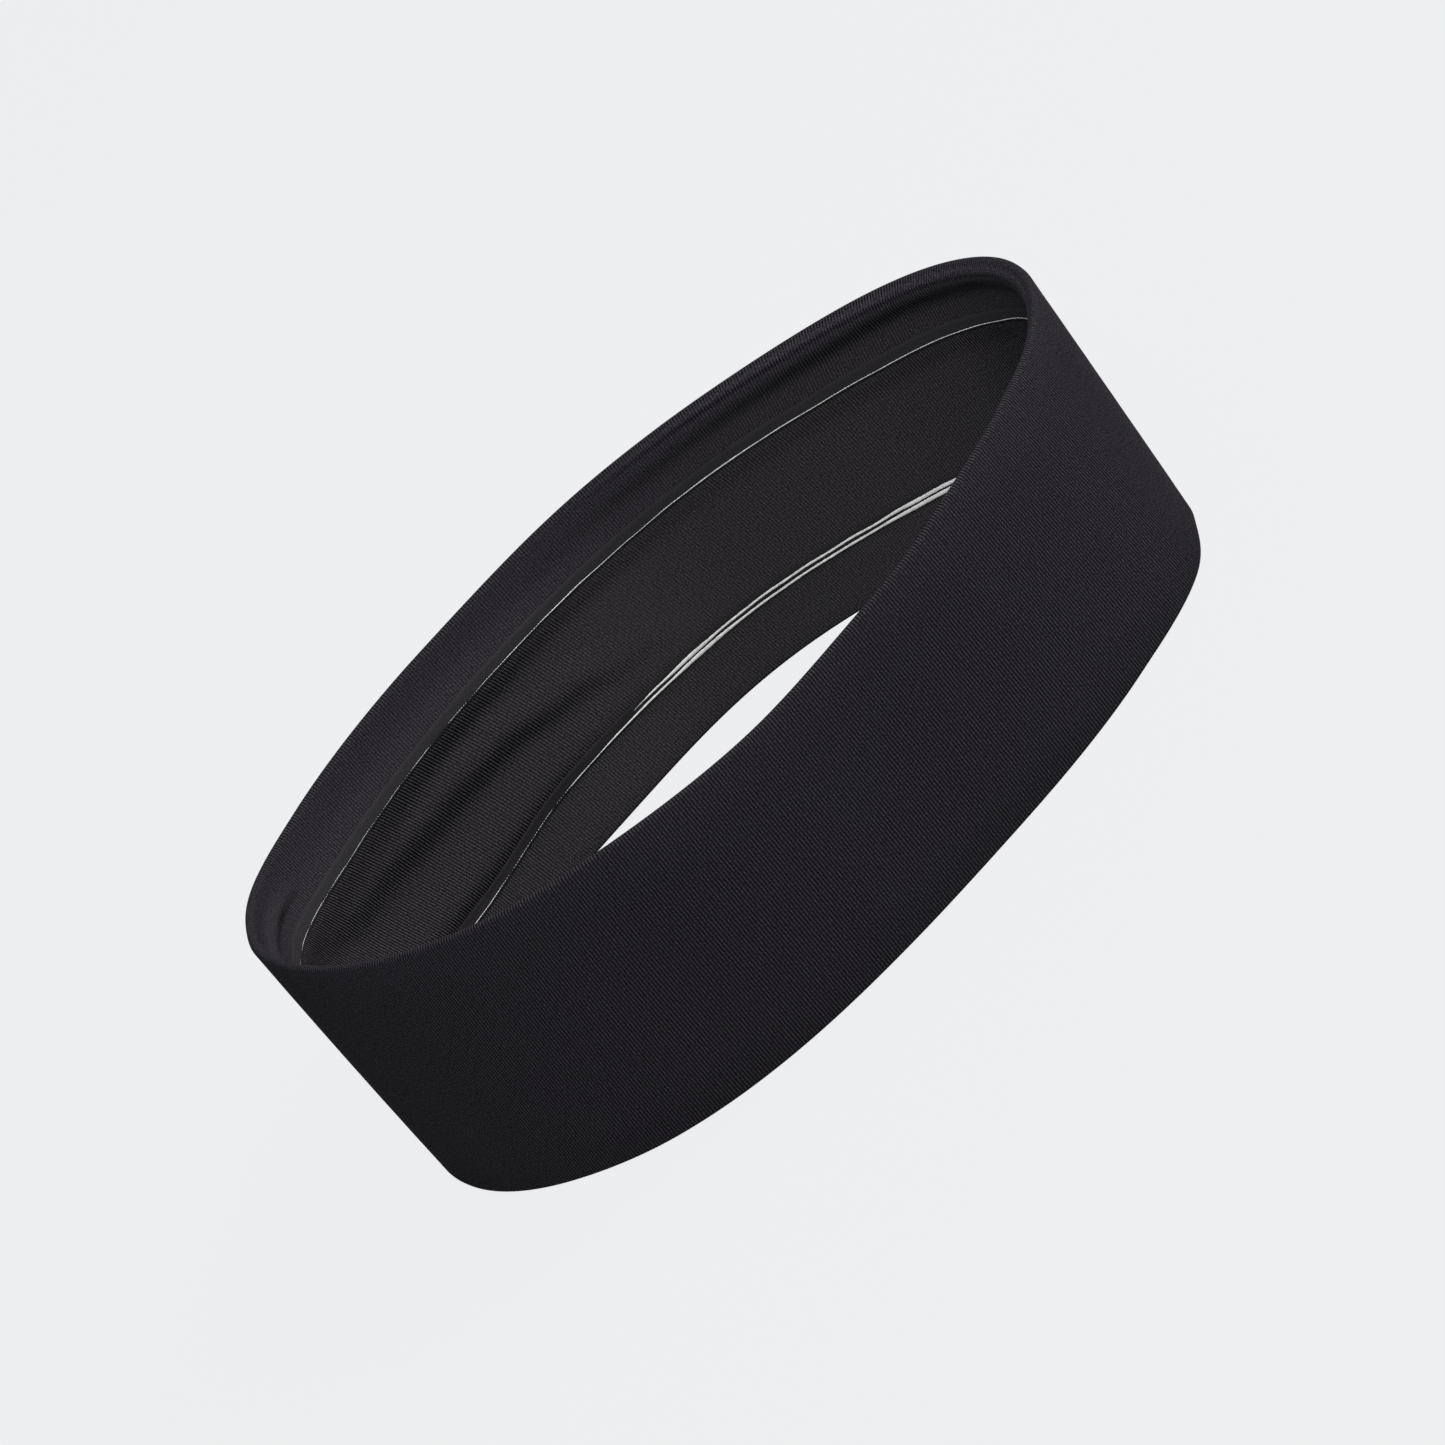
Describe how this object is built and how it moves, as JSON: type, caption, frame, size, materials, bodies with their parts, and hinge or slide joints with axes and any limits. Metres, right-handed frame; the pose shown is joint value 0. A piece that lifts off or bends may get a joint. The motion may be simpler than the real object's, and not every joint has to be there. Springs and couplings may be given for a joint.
{
  "type": "sports headband",
  "caption": "Elastic knitted sports headband: a ribbed outer band turned over both rims, a ribbed lining, smooth seam tapes and silicone grip beads inside.",
  "frame": {"origin": "centre of the loop, in the plane that the lower rim rests on", "axes": "+Z along the loop's axis, up through the upper rim; +X along the loop's long diameter; +Y along its short diameter, towards the back wall"},
  "size_m": [0.186, 0.118, 0.055],
  "materials": {
    "outer_knit": "matte fine rib",
    "lining_knit": "matte fine rib",
    "seam_tape": "smooth matte",
    "silicone": "translucent satin",
    "thread": "twisted thread"
  },
  "bodies": {
    "root": {"outer_panel": "outer_knit", "lining_panel": "lining_knit", "upper_seam_tape": "seam_tape", "lower_seam_tape": "seam_tape", "upper_grip_bead": "silicone", "lower_grip_bead": "silicone", "lower_grip_second_bead": "silicone", "upper_seam_thread": "thread", "lower_seam_thread": "thread", "outer_back_seam_thread": "thread", "lining_back_seam_thread": "thread"}
  },
  "joints": []
}
